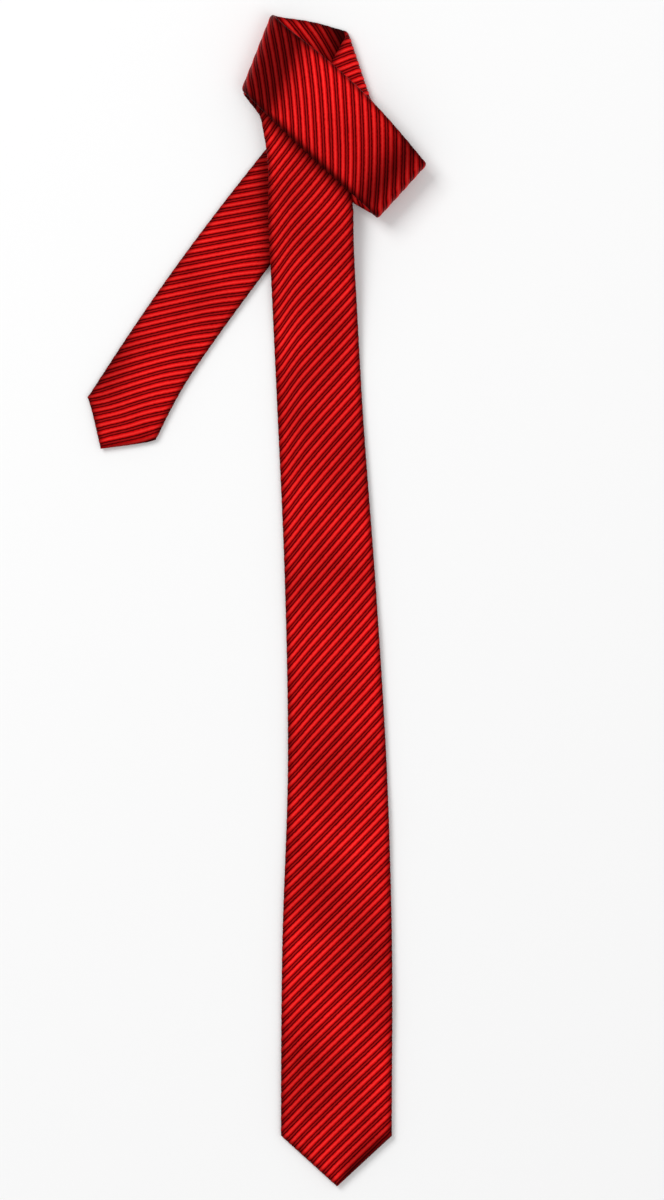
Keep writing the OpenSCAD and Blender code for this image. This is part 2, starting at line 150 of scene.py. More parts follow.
def fold(crease, before, after, z0, z1):
    """Rulings round a crease, from the run before at height z0 to the run after at height z1."""
    bend, reach = abs(z1 - z0) / 2, abs(z1 - z0) / 2 + HALF
    turns = []
    for t in np.linspace(0, math.pi, 17):
        x = reach - bend * math.sin(t)
        k = smooth(t / math.pi * 3 - 1)
        line = inset_line(crease, before, x) * (1 - k) + inset_line(crease, after, x) * k
        turns.append(ruling(line, (z0 + z1) / 2 + (z0 - z1) / 2 * math.cos(t)))
    return turns


def run(start, end, steps, bow=(0.0, 0.0), crown=0.0):
    """Rulings between two others. The a and b edge are bowed outwards by bow at the middle, and the run is
    raised there by crown."""
    out = []
    for k in np.arange(1, steps) / steps:
        r = start * (1 - k) + end * k
        across = unit(r[0, :2] - r[1, :2])
        r[0, :2] += across * bow[0] * math.sin(math.pi * k)
        r[1, :2] -= across * bow[1] * math.sin(math.pi * k)
        r[:, 2] += crown * math.sin(math.pi * k) ** 2
        out.append(r)
    return out


TAIL_AXIS = unit(TAIL_TIP - TAIL_ROOT)
TAIL_SIDE = np.array([TAIL_AXIS[1], -TAIL_AXIS[0]])  # towards the a edge
TAIL_CORNER = TAIL_TIP - TAIL_AXIS * TAIL_POINT
TAIL_ENDS = np.array([TAIL_CORNER + TAIL_SIDE * TAIL_W / 2, TAIL_CORNER - TAIL_SIDE * TAIL_W / 2])


def tail_line(d):
    """The tail's two edge points at a distance d from crease 2 along its axis."""
    p = TAIL_ROOT + TAIL_AXIS * d
    line = np.array([meet(p, TAIL_SIDE, C2[k], TAIL_ENDS[k] - C2[k]) for k in (0, 1)])
    f = 1 - d / (TAIL_LEN - TAIL_POINT)
    lean_a = LEAN_A[0] * math.sin(math.pi * np.clip(f / LEAN_A[1], 0, 1))
    rise, back = np.clip(f / LEAN_B[1], 0, 1), smooth((f - LEAN_B[1]) / LEAN_B[2])
    lean_b = LEAN_B[0] * math.sin(math.pi / 2 * rise) * (1 - back)
    return line + TAIL_SIDE * np.array([[lean_a], [lean_b]])


def edge_curve(points):
    """Smooth curve x(y) through points listed from the top down."""
    y, x = np.array(sorted(points)).T
    slope = np.gradient(x, y)

    def at(v):
        i = np.clip(np.searchsorted(y, v) - 1, 0, len(y) - 2)
        h = y[i + 1] - y[i]
        t = (v - y[i]) / h
        return (x[i] * (1 + 2 * t) * (1 - t) ** 2 + slope[i] * h * t * (1 - t) ** 2
                + x[i + 1] * t * t * (3 - 2 * t) - slope[i + 1] * h * t * t * (1 - t))
    return at


BLADE_A, BLADE_B = edge_curve(EDGE_A), edge_curve(EDGE_B)


def blade_line(ya, yb):
    return np.array([[BLADE_A(ya), ya], [BLADE_B(yb), yb]])


def course():
    """Every ruling of the strip, from beyond the tail's tip to beyond the blade's."""
    rulings = []
    for d in np.arange(TAIL_LEN + BEYOND, TAIL_RAMP[0], -5):
        rulings.append(ruling(tail_line(d), Z_TAIL))
    for k in np.linspace(0, 1, 9):
        d = TAIL_RAMP[0] + (TAIL_RAMP[1] - TAIL_RAMP[0]) * k
        rulings.append(ruling(tail_line(d), Z_TAIL + (Z_TAIL_HIGH - Z_TAIL) * smooth(k)))
    turns = [
        fold(C2, TAIL_ENDS, C3, Z_TAIL_HIGH, Z_INNER),
        fold(C3, C2, C4, Z_INNER, Z_BAND),
        fold(C4, C3, C5, Z_BAND, Z_UNDER),
        fold(C5, C4, SHOULDERS, Z_UNDER, Z_BLADE_HIGH),
    ]
    marks = {}
    for (name, bow, crown), turn in zip(RUNS, turns):
        rulings += run(rulings[-1], turn[0], 16, bow, crown)
        marks[name] = (len(rulings), len(rulings) + len(turn) - 1)
        rulings += turn
    top = ruling(blade_line(*BLADE_TOP), Z_BLADE_HIGH)
    rulings += run(rulings[-1], top, 4) + [top]
    for k in np.linspace(0, 1, 13)[1:]:
        line = blade_line(*(BLADE_TOP + (SHOULDERS[:, 1] - BLADE_TOP) * k))
        rulings.append(ruling(line, Z_BLADE_HIGH))
    marks["shoulders"] = (len(rulings) - 1,) * 2
    for k in np.linspace(0, 1, 31)[1:]:
        line = blade_line(*(SHOULDERS[:, 1] + (BLADE_BENDS[0] - SHOULDERS[:, 1]) * k))
        fall = (smooth(k / LANDING) + min(k / LANDING, 1)) / 2
        rulings.append(ruling(line, Z_BLADE_HIGH + (Z_BLADE - Z_BLADE_HIGH) * fall))
    for y in np.arange(BLADE_BENDS[0] - 4, CORNER_Y - BLADE_POINT - 12, -4):
        rulings.append(ruling(blade_line(y, y), Z_BLADE))
    return np.array(rulings), marks


RULINGS, MARKS = course()
MIDDLE = RULINGS.mean(1)
# Distance along the strip's middle line from the tail's tip; the course starts BEYOND it
S_MID = np.concatenate([[0], np.cumsum(np.linalg.norm(np.diff(MIDDLE, axis=0), axis=1))]) - BEYOND
ACROSS = RULINGS[:, 0] - RULINGS[:, 1]
TRAVEL = unit_rows(np.gradient(MIDDLE, S_MID, axis=0))


def obliqueness():
    """How far each ruling's a end is ahead of its b end along the strip. Round a fold it is constant."""
    o = (ACROSS * TRAVEL).sum(1)
    known = np.ones(len(o), bool)
    for name in ("c2", "c3", "c4", "c5"):
        i, j = MARKS[name]
        o[i:j + 1] = (o[i - 2] + o[j + 2]) / 2
        known[i - 5:i] = known[j + 1:j + 6] = False
    return np.interp(S_MID, S_MID[known], o[known])


OBLIQUE = obliqueness()
FULL_W = np.sqrt((ACROSS ** 2).sum(1) - OBLIQUE ** 2)
FRONT = unit_rows(np.cross(TRAVEL, ACROSS))
LENGTH = float(np.interp(-(CORNER_Y - BLADE_POINT), -MIDDLE[-40:, 1], S_MID[-40:]))  # s of the blade's tip


def s_at_y(y):
    """Distance along the strip at height y on the blade."""
    return LENGTH - (y - (CORNER_Y - BLADE_POINT))


def s_at(mark, end=0):
    return float(S_MID[MARKS[mark][end]])


# Everything along the strip is looked up in one even table that runs past both tips
TABLE = np.arange(-70, LENGTH + 70, 0.5)

MEAN_OF = 21  # steps of the table over which the half width is averaged
WIDTH = np.pad(np.interp(TABLE, S_MID, FULL_W) / 2, MEAN_OF // 2, mode="edge")
WIDTH = np.convolve(WIDTH, np.ones(MEAN_OF) / MEAN_OF, "valid")
CORNER_S = (TAIL_POINT, LENGTH - BLADE_POINT)
# Slant of the ribs: how far they run along the strip for each millimetre across
SLANT = np.interp(TABLE, [CORNER_S[0], s_at_y(20), s_at_y(-180), CORNER_S[1]], [1.05, 1.06, 1.0, 0.98])


def look_up(s, values):
    return np.interp(s, TABLE, values)


def ruling_at(s, x):
    """Where on the middle line the ruling through a point of the strip starts."""
    at = np.array(s, float)
    for _ in range(25):
        at = s - x * np.interp(at, S_MID, OBLIQUE / FULL_W)
    return at


def lay(s, x, z):
    """Strip space to the row frame, in millimetres."""
    at = ruling_at(s, x)
    middle, across, front = (np.column_stack([np.interp(at, S_MID, column) for column in table.T])
                             for table in (MIDDLE, ACROSS / FULL_W[:, None], FRONT))
    return middle + x[:, None] * across + z[:, None] * unit_rows(front)


# ---- outline and section of the strip ----
ROLL = 3.0  # how far in from an edge the fold starts to round
BLADE_TIP_X = 0.4  # the blade's tip lies this far to the right of its middle
HALF_W = (TAIL_W / 2, 35.0)  # half width at the corners of the tail and of the blade
# Edges of the two points, as (corner, tip) pairs of (X, s)
POINT_EDGES = [((side * HALF_W[end], CORNER_S[end]), tip)
               for end, tip in enumerate(((0.0, 0.0), (BLADE_TIP_X, LENGTH))) for side in (1, -1)]


def point_distance(x, s, edge):
    """Distance inside one edge of a pointed end, and the direction inwards."""
    corner, tip = np.array(edge)
    n = normal(corner, tip, np.array([0.0, LENGTH / 2]))
    return (x - corner[0]) * n[0] + (s - corner[1]) * n[1], n


def edge_distance(x, s):
    """Distance to the nearest edge of the strip, and the direction inwards."""
    d = look_up(s, WIDTH) - np.abs(x)
    gx, gs = -np.sign(x), np.zeros_like(x)
    for edge in POINT_EDGES:
        dd, n = point_distance(x, s, edge)
        near = dd < d
        d, gx, gs = np.where(near, dd, d), np.where(near, n[0], gx), np.where(near, n[1], gs)
    return np.maximum(d, 0), gx, gs


def rib_height(phase):
    """Depth of the silk's surface below the tops of its ribs, at a phase in repeats."""
    p = (phase + 0.3) % 1 - 0.3
    broad = (2 * p - RIB[0] - RIB[1]) / (RIB[1] - RIB[0])
    thin = (2 * p - THIN[0] - THIN[1]) / (THIN[1] - THIN[0])
    h = np.full_like(p, -DEPTH)
    h = np.where(np.abs(broad) <= 1.001, -0.28 * np.abs(broad) ** 2.4, h)
    return np.where(np.abs(thin) <= 1.001, -0.20 - 0.14 * np.abs(thin) ** 2.2, h)


ROWS = [-0.30, -0.285, -0.255, -0.21, -0.16, -0.10, -0.04, 0.02, 0.08, 0.14, 0.19, 0.225, 0.25,
        0.29, 0.33, 0.35, 0.39, 0.455, 0.52, 0.56, 0.58, 0.64]

EDGE_STEPS = [ROLL * (1 - math.cos(a)) for a in np.linspace(0, math.pi / 2, 8)]
FLAP_R = 0.45  # radius of the turned edge of a back flap
TURN, UNDER = (0.15, 0.75), (2.0, 0.8)  # the turned edge goes in by the first and up by the second, twice
SLIT = 0.15  # half the gap between the back flaps at the seam
# Opening between the back flaps at each end: (s at the bar tack, s at the widest, half width there, s at its foot)
KITES = (
    (TAIL_TACK, CORNER_S[0] + 2, HALF_W[0] - 7, 8.0),
    (s_at_y(TACK_Y), CORNER_S[1] - 2, HALF_W[1] - 9, LENGTH - 10),
)


GAP = np.full_like(TABLE, SLIT)  # half width of the gap between the back flaps along the strip
for tack_s, wide_s, half_gap, _ in KITES:
    GAP = np.maximum(GAP, np.clip((TABLE - tack_s) / (wide_s - tack_s), 0, None) * half_gap)


def front_columns(spacing):
    """Columns (X, u, Z, fixed) of the front layer from the b edge to the a edge. u runs round the section
    against X on the front, and a fixed column keeps its Z."""
    inner = WIDTH - ROLL
    n = max(4, int(2 * inner.mean() / spacing))
    xs = [-(WIDTH - d) for d in EDGE_STEPS]
    xs += [inner * f for f in np.linspace(-1, 1, n + 1)[1:-1]]
    xs += [WIDTH - d for d in EDGE_STEPS[::-1]]
    return [(x, -x, 0.0, 0) for x in xs]


def flap_columns(spacing, side):
    """Columns of one back flap, in order round the section from the a edge to the b edge."""
    inner = WIDTH - ROLL
    n = max(3, int(inner.mean() / spacing))
    xs = [WIDTH - d for d in EDGE_STEPS]
    foot = np.minimum(GAP + FLAP_R, inner - 0.5)
    xs += [inner + (foot - inner) * f for f in np.linspace(0, 1, n + 1)[1:]]
    columns = [(x, 0.0, 0) for x in xs]
    for a in (30, 60, 90):
        a = math.radians(a)
        columns.append((foot - FLAP_R * math.sin(a), -HALF + FLAP_R * (1 - math.cos(a)), 1))
    columns.append((foot - FLAP_R + TURN[0], -HALF + TURN[1], 1))
    columns.append((foot + UNDER[0], -HALF + UNDER[1], 1))
    return [(side * x, -side * (2 * WIDTH - x), z, fixed) for x, z, fixed in columns][::side]


def grid_quads(index):
    """Faces between the points of an index grid."""
    return np.stack([index[:-1, :-1], index[1:, :-1], index[1:, 1:], index[:-1, 1:]], -1).reshape(-1, 4)


def loft_faces(index, flip=False, ring=False):
    """Faces between the rows of an index grid, each row a closed loop. A ring joins its last row to its first,
    and anything else is capped at both ends."""
    rows = np.vstack([index, index[:1]]) if ring else index
    beside = np.roll(rows, -1, axis=1)
    corners = [rows[:-1], beside[:-1], beside[1:], rows[1:]]
    caps = [] if ring else [index[0, ::-1].tolist(), index[-1].tolist()]
    if flip:
        corners, caps = [corners[k] for k in (0, 3, 2, 1)], [cap[::-1] for cap in caps]
    return [tuple(f) for f in np.stack(corners, -1).reshape(-1, 4).tolist() + caps]


def grid(columns, span, margin=1.5):
    """Mesh of a layer in strip space, its rows along the ribs, over the stretch span and a margin."""
    lo, hi = span[0] - margin, span[1] + margin
    near = (TABLE > lo - 2) & (TABLE < hi + 2)
    qs = [TABLE - SLANT * u for _, u, _, _ in columns]
    first = math.floor(min(q[near].min() for q in qs) / PITCH) - 1
    last = math.ceil(max(q[near].max() for q in qs) / PITCH) + 1
    phases = np.array([k + r for k in range(first, last + 1) for r in ROWS])
    s = np.column_stack([np.interp(phases * PITCH, q, TABLE) for q in qs])
    x, u = (np.column_stack([look_up(s[:, j], c[k]) for j, c in enumerate(columns)]) for k in (0, 1))
    z, fixed = (np.broadcast_to([c[k] for c in columns], s.shape) for k in (2, 3))
    quads = grid_quads(np.arange(s.size).reshape(s.shape))
    ends = s.ravel()[quads]
    quads = quads[(ends.max(1) > lo) & (ends.min(1) < hi)]
    used, inverse = np.unique(quads, return_inverse=True)
    phase = np.repeat(phases[:, None], s.shape[1], axis=1)
    data = np.column_stack([v.ravel() for v in (x, s, z, phase, u, fixed)])
    return data[used], inverse.reshape(quads.shape)


LAYERS = ("rib", "run", "fixed")


def to_bmesh(data, quads):
    me = bpy.data.meshes.new("layer")
    me.from_pydata(data[:, :3].tolist(), [], quads.tolist())
    for k, name in enumerate(LAYERS):
        attribute = me.attributes.new(name, "FLOAT", "POINT")
        attribute.data.foreach_set("value", data[:, 3 + k].astype(np.float32))
    bm = bmesh.new()
    bm.from_mesh(me)
    bpy.data.meshes.remove(me)
    return bm


def split(bm, co, no, clear=False):
    """Cut the mesh along a plane and, if clear is set, clear what lies on the plane's normal side."""
    bmesh.ops.bisect_plane(bm, geom=bm.verts[:] + bm.edges[:] + bm.faces[:], dist=1e-4, plane_co=co,
                           plane_no=no, clear_outer=clear, clear_inner=False)


def cut_point(bm, end, offsets):
    """Cut the mesh to the point at one end of the strip, with extra lines at offsets inside its edges."""
    for edge in POINT_EDGES[2 * end:2 * end + 2]:
        _, n = point_distance(0.0, 0.0, edge)
        for d in offsets:
            co = (edge[0][0] + n[0] * d, edge[0][1] + n[1] * d, 0)
            split(bm, co, (-n[0], -n[1], 0), clear=(d == 0))


def from_bmesh(bm):
    layers = [bm.verts.layers.float[name] for name in LAYERS]
    bm.verts.index_update()
    data = np.array([(*v.co, *(v[layer] for layer in layers)) for v in bm.verts])
    faces = [tuple(v.index for v in f.verts) for f in bm.faces]
    bm.free()
    return data, faces


def hem(end, spacing):
    """The hem on the back of a point: the front layer's grid cut to the band between the point's edges and
    the opening, its inner edge turned under."""
    _, wide, half, foot = KITES[end]
    away = (-1.0, 1.0)[end]
    lo, hi = sorted((wide, (0.0, LENGTH)[end] + away * 2))
    data, quads = grid(front_columns(spacing), (lo, hi), 2)
    data[:, 2] = -HALF
    bm = to_bmesh(data, quads)
    split(bm, (0, wide, 0), (0, -away, 0), clear=True)
    cut_point(bm, end, EDGE_STEPS)
    lines = []
    for side in (1, -1):
        p = np.array([0.0, foot])
        n = normal(p, np.array([side * half, wide]), p + (side, away))
        lines.append((p, n))
        for d in (0.0, FLAP_R):
            split(bm, (n[0] * d, foot + n[1] * d, 0), (n[0], n[1], 0))

    def outside(co):
        """How far a place is outside the opening's two lower edges."""
        return max((co.x - p[0]) * n[0] + (co.y - p[1]) * n[1] for p, n in lines)

    inside = [face for face in bm.faces if outside(face.calc_center_median()) < 0]
    bmesh.ops.delete(bm, geom=inside, context="FACES")
    fixed = bm.verts.layers.float["fixed"]
    rim = [e for e in bm.edges if e.is_boundary and all(abs(outside(v.co)) < 1e-3 for v in e.verts)]
    for e in rim:
        for v in e.verts:
            v.co.z, v[fixed] = -HALF + FLAP_R, 1
    for inward, up in (TURN, UNDER):
        made = bmesh.ops.extrude_edge_only(bm, edges=rim)["geom"]
        rim = [g for g in made if isinstance(g, bmesh.types.BMEdge)]
        for v in [g for g in made if isinstance(g, bmesh.types.BMVert)]:
            side = 0 if v.co.x > 0 else 1
            n = lines[side][1]
            v.co.x += n[0] * inward
            v.co.y += n[1] * inward
            v.co.z, v[fixed] = -HALF + up, 1
    return from_bmesh(bm)


def join(parts):
    faces, base = [], 0
    for data, fs in parts:
        faces += [tuple(i + base for i in f) for f in fs]
        base += len(data)
    return np.vstack([data for data, _ in parts]), faces


def weld(data, faces, free):
    """Join the vertices of different layers that lie on the strip's edges."""
    key = np.round(data[:, :3] / 0.02).astype(np.int64)
    order = {}
    to = np.arange(len(data))
    for i in np.nonzero(free)[0]:
        to[i] = order.setdefault(tuple(key[i]), i)
    out = []
    for f in faces:
        g = [int(to[i]) for i in f]
        g = [v for k, v in enumerate(g) if v != g[k - 1]]
        if len(g) > 2:
            out.append(tuple(g))
    return out


def wave(s, x):
    """Slow unevenness of the laid cloth: three low swells that run along the strip and a little across it."""
    return (0.16 * np.sin(s / 17.0 + 0.045 * x) + 0.12 * np.sin(s / 41.0 - 0.11 * x + 1.3)
            + 0.10 * np.sin(s / 9.5 + 0.16 * x + 0.4) * np.cos(x / 11.0))


def calm(s):
    """Share of the wave: the cloth is uneven on the long flat runs and even in the coil, where layers lie close."""
    return 0.25 + 0.75 * smooth((s - s_at_y(200)) / 40) + 0.5 * smooth((150 - s) / 40)


def arch(s, x, rim):
    """How far the pressed ribs arch along the strip on the front of the tail and of the blade."""
    w = look_up(s, WIDTH)
    share = smooth((x + w) / 17) * smooth((w - x) / 40) * smooth(rim / 9)
    height = 1.5 - 1.2 * smooth((s - s_at_y(110)) / 150) + 0.4 * np.sin(s / 37.0)
    blade = 1.25 * height * smooth((s - s_at_y(290)) / 30)
    tail = 1.2 * smooth((s_at("c2", 0) - 60 - s) / 40)
    return share * (tail - blade)


def silk_surface(data, back):
    """Give each vertex of a layer its height on the section and sink the grooves between the ribs."""
    x, s, z, phase, _, fixed = data.T
    d, gx, gs = edge_distance(x, s)
    angle = np.arccos(np.clip(1 - d / ROLL, 0, 1))
    sign = np.where(back, -1.0, 1.0)
    loose = fixed < 0.5
    height = np.where(loose, sign * HALF * np.sin(angle), z)
    across, through = np.cos(angle) / ROLL, np.sin(angle) / HALF
    size = np.hypot(across, through)
    dip = np.where(loose, rib_height(phase) * (0.4 + 0.6 * smooth(d / 2)), 0.0)
    data[:, 0] = x - gx * dip * across / size
    data[:, 1] = s - gs * dip * across / size
    data[:, 2] = height + sign * dip * through / size
    data[:, 1] += np.where(back, 0.0, arch(s, x, d))
    return data


def fade(distance, reach):
    """Falls from 1 at a distance of 0 or less, over about the reach."""
    return np.exp(-(np.maximum(0, distance) / reach) ** 2)


def tone(s, x):
    """Painted shade, as a factor on the silk's colour. It is darker beside the folds, in the coil, where it comes
    out from under another layer, and along its edges, where shade falls."""
    at, w = ruling_at(s, x), look_up(s, WIDTH)
    rim, _, _ = edge_distance(x, s)
    plan = lay(s, x, np.zeros(len(s)))[:, :2]
    after_c2, after_c3, before_c4 = at - s_at("c2", 1), at - s_at("c3", 1), s_at("c4", 0) - at
    on_band = (after_c3 > 0) & (before_c4 > 0)
    low_edge = unit(C4[1] - C3[1])
    from_band = (plan - C3[1]) @ np.array([low_edge[1], -low_edge[0]])
    from_blade = BLADE_B(np.clip(plan[:, 1], EDGE_B[-1][0], EDGE_B[0][0])) - plan[:, 0]
    dark = np.maximum.reduce([
        0.76 * fade(np.abs(after_c3 - 5) - 7, 9),  # painted shade on the band where it comes up from crease 3
        0.72 * fade(np.abs(before_c4 - 9), 14) * (before_c4 > -4),  # painted shade where it goes down to crease 4
        0.72 * fade(w + x, 4.2) * on_band,  # painted shade along the band's lower edge
        0.97 * fade(after_c2, 28) * (after_c2 > -1),  # painted shade deep inside the coil
        0.80 * fade(from_band, 5.5) * (at > s_at("c5", 1)),  # painted shadow of the band on the blade beside it
        0.60 * fade(from_blade, 6) * (at < s_at("c2", 0) - 40),  # painted shade on the tail beside the blade's edge
        0.50 * fade(np.abs(s - 52), 26) * fade(w - x, 13),  # the tail's a edge near its corner
        0.70 * fade(rim, 6.5) * smooth((s - CORNER_S[1] + 12) / 16) * smooth(x / 8),  # painted shade on the right side of the blade's point
    ])
    # The colour is also darker within about 4 mm of the strip's rolled edges: painted shade there too.
    return (1 - dark) * (0.32 + 0.68 * smooth(rim / 4.2))


def vertex_normals(points, faces):
    normals = np.zeros_like(points)
    sizes = np.array([len(f) for f in faces])
    for n in np.unique(sizes):
        idx = np.array([f for f in faces if len(f) == n])
        total = np.zeros((len(idx), 3))
        for k in range(1, n - 1):
            total += np.cross(points[idx[:, k]] - points[idx[:, 0]], points[idx[:, k + 1]] - points[idx[:, 0]])
        for k in range(n):
            np.add.at(normals, idx[:, k], total)
    return unit_rows(normals)


def add(name, data):
    """A new object in the scene."""
    obj = bpy.data.objects.new(name, data)
    bpy.context.scene.collection.objects.link(obj)
    return obj


def new_object(name, points, faces, material, attributes=(), normals=None):
    """Mesh object from points in millimetres."""
    me = bpy.data.meshes.new(name)
    me.from_pydata((points * MM).tolist(), [], faces)
    for key, values in attributes:
        me.attributes.new(key, "FLOAT", "POINT").data.foreach_set("value", np.asarray(values, np.float32))
    me.polygons.foreach_set("use_smooth", np.ones(len(faces), bool))
    me.materials.append(material)
    me.update()
    if normals is not None:
        me.normals_split_custom_set_from_vertices(normals.tolist())
    return add(name, me)


def silk_piece(name, span, spacing, material):
    """One stretch of the silk shell: front, two back flaps and, at a point, the hem."""
    parts = []
    at_end = (span[0] <= 0, span[1] >= LENGTH)
    for is_back, columns in ((False, front_columns(spacing)), (True, flap_columns(spacing, 1)),
                             (True, flap_columns(spacing, -1))):
        reach = [KITES[end][1] if is_back and at_end[end] else span[end] for end in (0, 1)]
        bm = to_bmesh(*grid(columns, reach))
        for end, away in ((0, -1), (1, 1)):
            if at_end[end] and not is_back:
                cut_point(bm, end, EDGE_STEPS)
            else:
                split(bm, (0, reach[end], 0), (0, away, 0), clear=at_end[end])
        parts.append(from_bmesh(bm))
    parts += [hem(end, spacing) for end in (0, 1) if at_end[end]]
    data, faces = join(parts)
    flat_x, flat_s = data[:, 0].copy(), data[:, 1].copy()
    data = silk_surface(data, np.arange(len(data)) >= len(parts[0][0]))
    d, _, _ = edge_distance(flat_x, flat_s)
    faces = weld(data, faces, (d < 0.01) & (data[:, 5] < 0.5))
    points = lay(data[:, 1], data[:, 0], data[:, 2] + wave(flat_s, flat_x) * calm(flat_s))
    normals = vertex_normals(points, faces)
    middle = np.array([flat_s[list(f)].mean() for f in faces])
    lo, hi = (-99 if at_end[0] else span[0]), (LENGTH + 99 if at_end[1] else span[1])
    faces = [f for f, m in zip(faces, middle) if lo < m < hi]
    used = np.unique([v for f in faces for v in f])
    to = np.full(len(data), -1)
    to[used] = np.arange(len(used))
    faces = [tuple(int(to[v]) for v in f) for f in faces]
    # The vertices carry the rib phase, the run and the painted shade of the silk's colour as attributes.
    return new_object(name, points[used], faces, material,
                      [("rib", data[used, 3]), ("run", data[used, 4]), ("tone", tone(flat_s, flat_x)[used])],
                      normals[used])


# ---- materials ----
def srgb(r, g, b):
    return tuple((c / 255 / 12.92 if c / 255 <= 0.04045 else ((c / 255 + 0.055) / 1.055) ** 2.4)
                 for c in (r, g, b)) + (1.0,)


class Shader:
    """A new material and short ways to add nodes to it."""

    def __init__(self, name):
        self.material = bpy.data.materials.new(name)
        self.material.use_nodes = True
        tree = self.material.node_tree
        self.nodes, self.links, self.bsdf = tree.nodes, tree.links, tree.nodes["Principled BSDF"]
        self.place = self.nodes.new("ShaderNodeTexCoord").outputs["Object"]

    def put(self, node, sockets):
        """Link or set a node's sockets."""
        for key, value in sockets.items():
            if isinstance(value, bpy.types.NodeSocket):
                self.links.new(value, node.inputs[key])
            else:
                node.inputs[key].default_value = value

    def node(self, kind, sockets):
        node = self.nodes.new("ShaderNode" + kind)
        self.put(node, sockets)
        return node

    def math(self, operation, *values):
        node = self.node("Math", dict(enumerate(values)))
        node.operation = operation
        return node.outputs[0]

    def total(self, *terms):
        """Sum of (value, factor) pairs and plain numbers."""
        out = None
        for term in terms:
            term = self.math("MULTIPLY", *term) if isinstance(term, tuple) else term
            out = term if out is None else self.math("ADD", out, term)
        return out

    def attribute(self, name):
        node = self.nodes.new("ShaderNodeAttribute")
        node.attribute_name = name
        return node.outputs["Fac"]

    def noise(self, scale, detail=2):
        return self.node("TexNoise", {"Vector": self.place, "Scale": scale, "Detail": detail}).outputs[0]

    def ramp(self, factor, stops):
        node = self.node("ValToRGB", {0: factor})
        elements = node.color_ramp.elements
        while len(elements) < len(stops):
            elements.new(0.5)
        for element, (at, colour) in zip(elements, stops):
            element.position, element.color = at, colour
        return node.outputs[0]

    def bump(self, height, strength, distance):
        node = self.node("Bump", {"Height": height, "Strength": strength, "Distance": distance})
        self.put(self.bsdf, {"Normal": node.outputs[0]})


RIB_START = 0.36  # added to the phase, so that the colours start in the groove before the broad rib
WRAP = 0.42  # pitch in mm of the fine threads that wrap each rib crossways


def silk_material():
    m = Shader("ribbed_silk")
    jitter = m.math("MULTIPLY", m.math("SUBTRACT", m.noise(650), 0.5), 0.14)
    phase = m.math("FRACT", m.math("ADD", m.math("ADD", m.attribute("rib"), RIB_START), jitter))
    # The silk's red across one rib repeat, with painted shade: dark in the grooves, and a painted highlight at the
    # broad rib's crest, lighter than its flanks.
    groove, dark, flank = srgb(74, 0, 2), srgb(150, 10, 12), srgb(222, 24, 23)
    colours = m.ramp(phase, [
        (0.0, groove), (0.05, groove), (0.085, srgb(196, 3, 7)), (0.17, flank), (0.30, srgb(240, 50, 46)),
        (0.43, flank), (0.565, srgb(186, 0, 5)), (0.625, groove), (0.70, groove), (0.74, dark),
        (0.80, srgb(170, 25, 24)), (0.90, dark), (0.94, groove)])
    fine = m.math("SINE", m.math("MULTIPLY", m.attribute("run"), 2 * math.pi / WRAP))
    # Brightness of the colour: the fine wrap threads and a fine grain, and broad lighter and darker patches that
    # are painted sheen of the slightly wavy cloth.
    light = m.total((fine, 0.04), (m.noise(17, 3), 1.1), 0.32, (m.noise(500), 0.2))
    # The colour is scaled by that brightness and by the painted shade in the vertex attribute.
    shade = m.nodes.new("ShaderNodeVectorMath")
    shade.operation = "SCALE"
    m.put(shade, {0: colours, "Scale": m.math("MULTIPLY", light, m.attribute("tone"))})
    m.put(m.bsdf, {
        "Base Color": shade.outputs[0], "Roughness": 0.44, "IOR": 1.3, "Specular IOR Level": 0.3,
        "Specular Tint": srgb(255, 60, 70), "Sheen Weight": 0.04, "Sheen Roughness": 0.4,
        "Sheen Tint": srgb(255, 90, 130)})
    m.bump(fine, 0.3, 0.00006)
    return m.material


def wool_material():
    """Brushed wool interlining, off white."""
    m = Shader("wool")
    nap = m.noise(1400, 6)
    colour = m.ramp(nap, [(0.3, srgb(206, 198, 180)), (0.7, srgb(240, 236, 224))])
    m.put(m.bsdf, {"Base Color": colour, "Roughness": 0.95, "Sheen Weight": 0.4})
    m.bump(nap, 0.6, 0.0002)
    return m.material


def woven(name, dark, light, pitch, roughness, angle=0.0, sheen=0.0):
    """Cloth with two crossed sets of threads, pitch apart in metres, turned by angle."""
    m = Shader(name)
    turn = m.node("Mapping", {"Vector": m.place, "Rotation": (0, 0, angle), "Scale": (1 / pitch,) * 3})
    axes = m.node("SeparateXYZ", {0: turn.outputs[0]}).outputs
    warp, weft = (m.math("SINE", m.math("MULTIPLY", axes[k], 2 * math.pi)) for k in (0, 1))
    height = m.total((m.math("MULTIPLY", warp, weft), 0.25), (warp, 0.25), 0.5)
    colour = m.ramp(m.total((height, 0.6), (m.noise(220, 3), 0.4)), [(0.2, dark), (0.75, light)])
    m.put(m.bsdf, {"Base Color": colour, "Roughness": roughness, "Sheen Weight": sheen})
    m.bump(height, 0.5, pitch * 0.3)
    return m


def bordered(name, ground, figure):
    """Damask label: a plain woven ground with a double border line. It carries no lettering."""
    m = woven(name, ground, tuple(min(1.0, c * 1.7 + 0.01) for c in ground[:3]) + (1.0,), 0.0005, 0.55)
    base = m.bsdf.inputs["Base Color"].links[0].from_socket
    across = m.node("SeparateXYZ", {0: m.place}).outputs[1]
    off = m.math("ABSOLUTE", m.math("SUBTRACT", across, LABEL_Y * MM))
    # Each line's distance from the label's middle, and half its width
    lines = [m.math("COMPARE", off, at * MM, half * MM) for at, half in ((6.4, 0.32), (5.2, 0.14))]
    mix = m.nodes.new("ShaderNodeMix")
    mix.data_type = "RGBA"
    m.put(mix, {0: m.math("MAXIMUM", *lines), 6: base, 7: figure})
    m.put(m.bsdf, {"Base Color": mix.outputs[2]})
    return m.material


def thread_material(name, dark, light):
    return woven(name, dark, light, 0.00035, 0.6, angle=0.6, sheen=0.2).material


